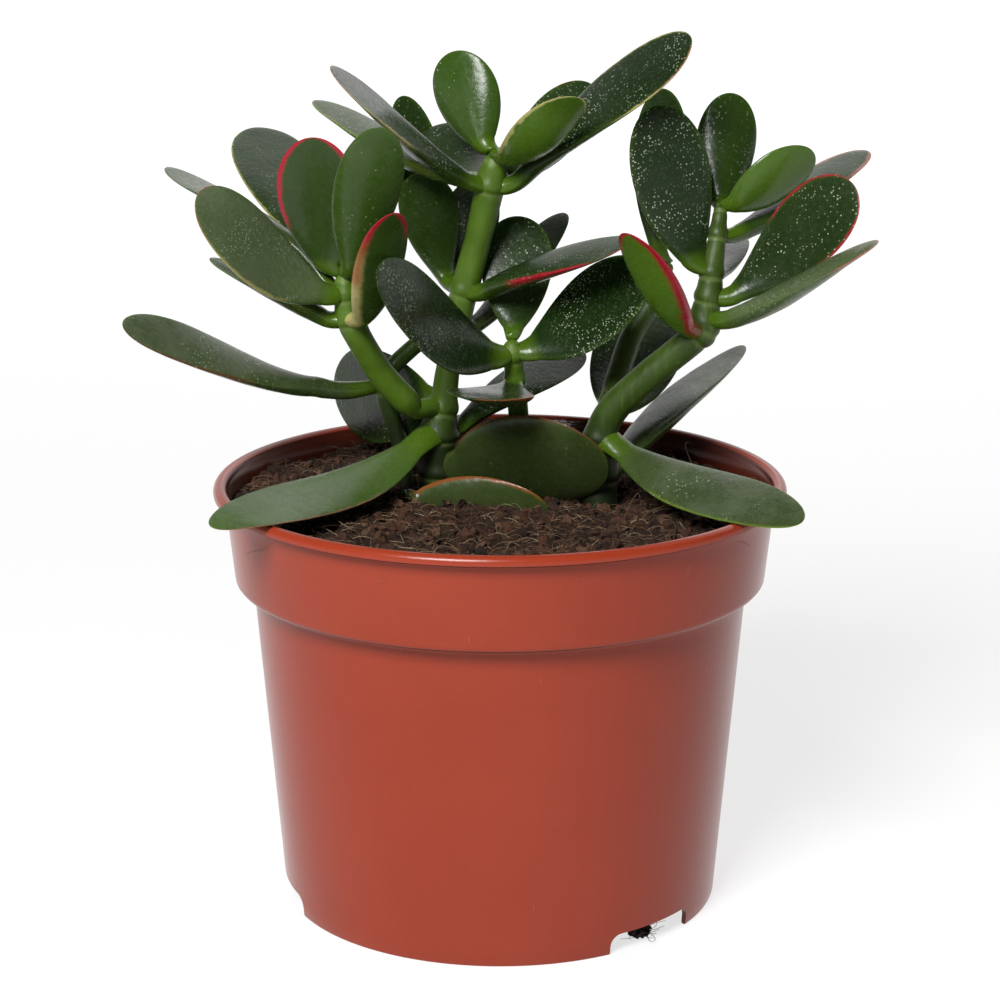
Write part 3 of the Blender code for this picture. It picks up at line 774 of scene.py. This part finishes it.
def spots(tree, place, scale, size, share):
    """Small round spots scattered over a share of a grid's cells: 1 in a spot, 0 outside it."""
    cells = add_node(tree, "ShaderNodeTexVoronoi", {"Vector": place, "Scale": scale})
    chosen = add_node(tree, "ShaderNodeSeparateColor", {0: cells.outputs["Color"]})
    dot = ramp(tree, cells.outputs["Distance"], size, size * 0.65)
    reach = ramp(tree, chosen.outputs[0], share, share - 0.05)
    return maths(tree, "MULTIPLY", dot, reach)


def leaf_material(name, skin, margins, way):
    """A waxy leaf: two-toned faces, a bright foot, coloured margins, pale specks, and wax patches that are
    partly painted sheen.
    """
    made, tree, shader, place = new_material(f"{name}_skin")
    look = SKINS[skin]
    along, margin = attribute(tree, "along"), attribute(tree, "margin_mm")
    side, face = attribute(tree, "side"), attribute(tree, "face")
    soft = noise_at(tree, place, 70, 3)
    fine = noise_at(tree, place, 900, 2)

    colour = mix(tree, ramp(tree, face, 0.15, -0.15), look["upper"], look["lower"])
    light = tuple(1.5 * value + 0.002 for value in look["upper"])
    colour = mix(tree, ramp(tree, soft, 0.35, 0.75, 0, 0.5), colour, light)
    colour = mix(tree, ramp(tree, fine, 0.4, 0.7, 0, 0.25), colour, light)
    flesh = mix(tree, ramp(tree, margin, 1.6, 0.0, 0, 0.35), colour, (0.0341, 0.0651, 0.0074))
    foot = ramp(tree, maths(tree, "ADD", along, maths(tree, "MULTIPLY", soft, 0.06)), 0.17, 0.05)
    colour = mix(tree, foot, flesh, (0.0434, 0.0868, 0.0043)) if skin != "olive" else flesh
    # Soft whitish patches spread by noise: partly the leaf's wax, partly painted sheen standing for reflected
    # light.
    wax_and_sheen_patch = ramp(tree, noise_at(tree, place, 110, 4, 0.65), 0.42, 0.72, 0, look["wax_and_sheen"] * 0.55)
    wax_and_sheen = maths(tree, "MULTIPLY", wax_and_sheen_patch, ramp(tree, along, 0.1, 0.35))
    colour = mix(tree, wax_and_sheen, colour, (0.0806, 0.102, 0.0527))

    wander = maths(tree, "MULTIPLY", maths(tree, "SUBTRACT", noise_at(tree, place, 420, 3), 0.5), 1.1)
    edge = maths(tree, "ADD", margin, wander)
    for which, start, end, width, ink, strength in margins:
        band = ramp(tree, edge, width, width * 0.25, 0, strength)
        if start > 0:
            band = maths(tree, "MULTIPLY", band, ramp(tree, along, start - 0.07, start + 0.07))
        if end < 1:
            band = maths(tree, "MULTIPLY", band, ramp(tree, along, end + 0.07, end - 0.07))
        if which != "both":
            sign = 1 if way.dot(SIDES[which]) > 0 else -1
            band = maths(tree, "MULTIPLY", band, ramp(tree, maths(tree, "MULTIPLY", side, sign), 0.0, 0.25))
        colour = mix(tree, band, colour, INKS[ink])

    if look["speckles"]:
        patches = ramp(tree, noise_at(tree, place, 95, 2), 0.42, 0.62, 0.1, 1)
        small = spots(tree, place, 1700, 0.33, look["speckles"] * 0.6)
        large = spots(tree, place, 900, 0.22, look["speckles"] * 0.4)
        both = maths(tree, "MULTIPLY", maths(tree, "MAXIMUM", small, large), patches)
        both = maths(tree, "MULTIPLY", both, ramp(tree, along, 0.12, 0.3))
        colour = mix(tree, maths(tree, "MULTIPLY", both, 0.9), colour, (0.260, 0.291, 0.211))
    tree.links.new(colour, shader.inputs["Base Color"])
    shine = maths(tree, "ADD", ramp(tree, fine, 0.3, 0.7, 0.22, 0.30), maths(tree, "MULTIPLY", wax_and_sheen, 0.35))
    tree.links.new(shine, shader.inputs["Roughness"])
    shader.inputs["Specular IOR Level"].default_value = PLASTIC_AND_WAX_SPECULAR
    shader.inputs["Subsurface Weight"].default_value = 0.06
    shader.inputs["Subsurface Radius"].default_value = FLESH_RADIUS
    shader.inputs["Subsurface Scale"].default_value = 0.0025
    bump(tree, shader, maths(tree, "ADD", fine, maths(tree, "MULTIPLY", soft, 0.6)), 0.16, 0.0004)
    return made


def stem_material(name, base):
    """A smooth green stem with pale rings where the leaves leave it, and painted shade that darkens it towards
    the soil.
    """
    made, tree, shader, place = new_material(f"{name}_skin")
    soft = noise_at(tree, place, 160, 3)
    streaks = noise_at(tree, stretched(tree, place, (900, 900, 90)), 1.0, 3)
    colour = mix(tree, ramp(tree, soft, 0.3, 0.7), base, tuple(value * 1.35 for value in base))
    colour = mix(tree, ramp(tree, streaks, 0.5, 0.72, 0, 0.35), colour, (0.0806, 0.136, 0.0186))
    height = maths(tree, "ADD", attribute(tree, "height_mm"), maths(tree, "MULTIPLY", soft, 8))
    # Painted shade: towards the soil the stem is darkened to near black, standing for the shade at the trunk's
    # base.
    colour = mix(tree, ramp(tree, height, 112, 99, 0, 0.93), colour, (0.0050, 0.0087, 0.0019))
    ring = ramp(tree, attribute(tree, "node_mm"), 0.7, 0.1, 0, 0.4)
    colour = mix(tree, ring, colour, (0.136, 0.186, 0.0496))
    tree.links.new(colour, shader.inputs["Base Color"])
    tree.links.new(ramp(tree, soft, 0.3, 0.7, 0.38, 0.52), shader.inputs["Roughness"])
    shader.inputs["Specular IOR Level"].default_value = PLASTIC_AND_WAX_SPECULAR
    shader.inputs["Subsurface Weight"].default_value = 0.10
    shader.inputs["Subsurface Radius"].default_value = FLESH_RADIUS
    shader.inputs["Subsurface Scale"].default_value = 0.002
    bump(tree, shader, streaks, 0.2, 0.0004)
    return made


def pot_material():
    """Terracotta-coloured moulded plastic with faint flow marks, fine scratches, a little dust, and painted
    shade on the inner wall.
    """
    made, tree, shader, place = new_material("terracotta_plastic")
    cloud = noise_at(tree, place, 22, 4)
    grain = noise_at(tree, place, 1500, 2)
    colour = mix(tree, ramp(tree, cloud, 0.3, 0.7), (0.217, 0.0248, 0.0087), (0.239, 0.0291, 0.0112))
    colour = mix(tree, ramp(tree, grain, 0.45, 0.7, 0, 0.12), colour, (0.267, 0.0465, 0.0211))
    scratches = noise_at(tree, stretched(tree, place, (1500, 1500, 22)), 1.0, 2)
    worn = ramp(tree, noise_at(tree, place, 55, 3), 0.58, 0.7)
    scratch = maths(tree, "MULTIPLY", ramp(tree, scratches, 0.70, 0.78), worn)
    colour = mix(tree, maths(tree, "MULTIPLY", scratch, 0.5), colour, (0.384, 0.186, 0.124))
    scuff = spots(tree, stretched(tree, place, (1, 1, 0.35)), 60, 0.045, 0.2)
    colour = mix(tree, maths(tree, "MULTIPLY", scuff, 0.8), colour, (0.409, 0.223, 0.136))
    # Painted shade: faces that turn in towards the pot's axis, the inner wall, are darkened to a deep brown.
    across = add_node(tree, "ShaderNodeTexCoord").outputs["Normal"]
    outward = add_node(tree, "ShaderNodeVectorMath", {0: across, 1: place}, operation="DOT_PRODUCT")
    inside = maths(tree, "SUBTRACT", outward.outputs["Value"], maths(tree, "MULTIPLY", cloud, 0.02))
    colour = mix(tree, ramp(tree, inside, 0.010, -0.025, 0, 0.85), colour, (0.040, 0.010, 0.006))
    tree.links.new(colour, shader.inputs["Base Color"])
    tree.links.new(ramp(tree, cloud, 0.3, 0.7, 0.19, 0.25), shader.inputs["Roughness"])
    shader.inputs["Specular IOR Level"].default_value = PLASTIC_AND_WAX_SPECULAR
    bump(tree, shader, maths(tree, "ADD", grain, maths(tree, "MULTIPLY", cloud, 0.5)), 0.05, 0.0003)
    return made


def soil_material(name, dark, light):
    made, tree, shader, place = new_material(name)
    clumps = noise_at(tree, place, 260, 4, 0.65)
    specks = noise_at(tree, place, 1400, 3, 0.7)
    colour = mix(tree, ramp(tree, clumps, 0.35, 0.68), dark, light)
    colour = mix(tree, ramp(tree, specks, 0.60, 0.75, 0, 0.7), colour, (0.118, 0.0589, 0.0279))
    tree.links.new(colour, shader.inputs["Base Color"])
    tree.links.new(ramp(tree, specks, 0.3, 0.7, 0.85, 1.0), shader.inputs["Roughness"])
    shader.inputs["Specular IOR Level"].default_value = 0.2
    bump(tree, shader, maths(tree, "ADD", specks, clumps), 0.6, 0.0008)
    return made


def toned_material(name, tones, roughness):
    """Loose bits whose tone changes from one to the next."""
    made, tree, shader, place = new_material(name)
    tone = attribute(tree, "tone")
    colour = mix(tree, ramp(tree, tone, 0.0, 0.55), tones[0], tones[1])
    colour = mix(tree, ramp(tree, tone, 0.7, 1.0), colour, tones[2])
    patches = noise_at(tree, place, 1100, 3)
    colour = mix(tree, ramp(tree, patches, 0.4, 0.7, 0, 0.35), colour, tones[0])
    tree.links.new(colour, shader.inputs["Base Color"])
    tree.links.new(ramp(tree, patches, 0.3, 0.7, roughness - 0.08, roughness), shader.inputs["Roughness"])
    shader.inputs["Specular IOR Level"].default_value = 0.25
    bump(tree, shader, patches, 0.4, 0.0005)
    return made


def floor_material():
    made, tree, shader, place = new_material("studio_floor")
    cloud = noise_at(tree, place, 3, 2)
    tree.links.new(mix(tree, cloud, (0.24, 0.24, 0.24), (0.26, 0.26, 0.26)), shader.inputs["Base Color"])
    shader.inputs["Roughness"].default_value = 0.7
    shader.inputs["Specular IOR Level"].default_value = 0.1
    shader.inputs["Emission Color"].default_value = (1, 1, 1, 1)
    back = add_node(tree, "ShaderNodeSeparateXYZ", {0: place}).outputs["Y"]
    glow = ramp(tree, back, 0.10, 1.2, FLOOR_GLOW, FLOOR_GLOW_FAR)
    tree.links.new(glow, shader.inputs["Emission Strength"])
    return made


def dress(obj, material):
    """Gives a piece its material and its place on the plant."""
    obj.data.materials.clear()
    obj.data.materials.append(material)
    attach(obj, "root")
    return obj


# ---- The plant ----


def build_plant(nodes):
    lines = {name: stem_line(nodes[name]) for name in STEMS}
    attached = {name: [] for name in STEMS}
    for name, (skin, margins, hollow) in LOOKS.items():
        rings = leaf_rings(nodes[name], lines)
        leaf, way, joined = leaf_piece(name, rings, lines, hollow)
        if joined:
            attached[joined[0]].append(rings[0][0])
        dress(leaf, leaf_material(name, skin, margins, way))
        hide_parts(name)
    green = stem_material("green_stem", (0.0409, 0.0806, 0.0037))
    # Painted shade: the green stem's colour at about half its brightness.
    olive = stem_material("shaded_stem", (0.0211, 0.0409, 0.0031))
    for name in STEMS:
        stem = stem_piece(name, lines, attached[name])
        dress(stem, olive if name in SHADED_STEMS else green)
        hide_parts(name)


def build_soil(nodes):
    rng = np.random.default_rng(SOIL_SEED)
    peat = soil_material("peat", (0.0112, 0.0056, 0.0037), (0.0372, 0.0186, 0.0105))
    nodes["soil"].data.materials.clear()
    nodes["soil"].data.materials.append(peat)
    dress(build_soil_surface(), peat)

    def on_soil(generator):
        x, y = random_place(generator, SOIL_RADIUS_MM - 1.2)
        return x, y, soil_top(x, y)

    crumb_tones = ((0.0124, 0.0062, 0.0037), (0.0500, 0.0205, 0.0105), (0.0930, 0.0496, 0.0279))
    crumbs = build_crumbs("soil_crumbs", rng, CRUMBS, on_soil, 0.22, 1.2)
    dress(crumbs, toned_material("crumb", crumb_tones, 0.97))
    lines = []
    for _ in range(FIBRES):
        line = loose_fibre(rng, on_soil(rng), rng.uniform(2, 7), rng.uniform(0, 0.9))
        lines.append((line, rng.uniform(0.04, 0.09)))
    for place, length, lift in LONG_FIBRES:
        lines.append((loose_fibre(rng, place, length, lift), 0.16))
    fibre_tones = ((0.0620, 0.0341, 0.0186), (0.161, 0.0992, 0.0527), (0.310, 0.236, 0.149))
    fibre = toned_material("fibre", fibre_tones, 0.9)
    dress(build_fibres("soil_fibres", rng, lines), fibre)


def build_root_tuft(packed):
    """Dark peat and fine roots that hang out of the drain hole behind the front right notch."""
    rng = np.random.default_rng(TUFT_SEED)
    hull = np.array([packed.matrix_world @ vertex.co for vertex in packed.data.vertices]) / MM

    def in_tuft(generator):
        pair = hull[generator.integers(len(hull), size=2)]
        share = generator.random()
        return tuple(pair[0] * share + pair[1] * (1 - share))

    tones = ((0.0050, 0.0037, 0.0031), (0.0124, 0.0087, 0.0068), (0.0310, 0.0211, 0.0149))
    tuft = build_crumbs("root_tuft_peat", rng, TUFT_CRUMBS, in_tuft, 0.25, 0.9)
    dress(tuft, toned_material("root_peat", tones, 0.95))
    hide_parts("root_tuft")
    lines = []
    for _ in range(TUFT_FIBRES):
        line = loose_fibre(rng, in_tuft(rng), rng.uniform(3, 8), rng.uniform(-0.6, 0.1))
        lines.append((line, rng.uniform(0.05, 0.11)))
    lines = [(np.maximum(line, [-99, -99, 0.2]), thickness) for line, thickness in lines]
    dress(build_fibres("root_tuft_fibres", rng, lines), toned_material("root_fibre", tones, 0.9))


# ---- Studio ----


def area_light(name, place, size, power):
    light = bpy.data.lights.new(name, "AREA")
    light.shape = "RECTANGLE"
    light.size, light.size_y = size
    light.energy = power
    obj = bpy.data.objects.new(name, light)
    bpy.context.scene.collection.objects.link(obj)
    obj.location = place
    obj.rotation_euler = (Vector(LIGHT_TARGET) - Vector(place)).to_track_quat("-Z", "Y").to_euler()


def build_studio():
    a = FLOOR_HALF
    floor = add_piece("studio_floor", [(-a, -a, 0), (a, -a, 0), (a, a, 0), (-a, a, 0)], [(0, 1, 2, 3)])
    floor.data.materials.append(floor_material())
    world = bpy.data.worlds.new("studio")
    world.use_nodes = True
    tree = world.node_tree
    heading = add_node(tree, "ShaderNodeTexCoord").outputs["Generated"]
    way = add_node(tree, "ShaderNodeSeparateXYZ", {0: heading})
    behind = ramp(tree, way.outputs["Y"], 0.25, 0.95, ROOM_FRONT, ROOM_BACK)
    horizon = ramp(tree, maths(tree, "ABSOLUTE", way.outputs["Z"]), 0.25, 0.05, 0, ROOM_HORIZON)
    glow = maths(tree, "MAXIMUM", behind, horizon)
    tree.links.new(glow, tree.nodes["Background"].inputs["Strength"])
    tree.nodes["Background"].inputs["Color"].default_value = (1, 1, 1, 1)
    bpy.context.scene.world = world
    for name, (place, size, power) in LIGHTS.items():
        area_light(name, place, size, power)
    bpy.context.scene.view_settings.view_transform = "Standard"


def build_camera():
    camera = bpy.data.cameras.new("camera")
    camera.lens = CAMERA_LENS_MM
    camera.sensor_width = CAMERA_SENSOR_MM
    obj = bpy.data.objects.new("camera", camera)
    bpy.context.scene.collection.objects.link(obj)
    obj.location = CAMERA_PLACE
    obj.rotation_euler = (radians(90 - CAMERA_DOWN), 0, 0)
    bpy.context.scene.camera = obj


def main():
    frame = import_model()
    build_camera()
    build_studio()
    pot = dress(build_pot(), pot_material())
    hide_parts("pot")
    build_soil(frame["nodes"])
    build_root_tuft(frame["nodes"]["root_tuft"])
    build_plant(frame["nodes"])


main()
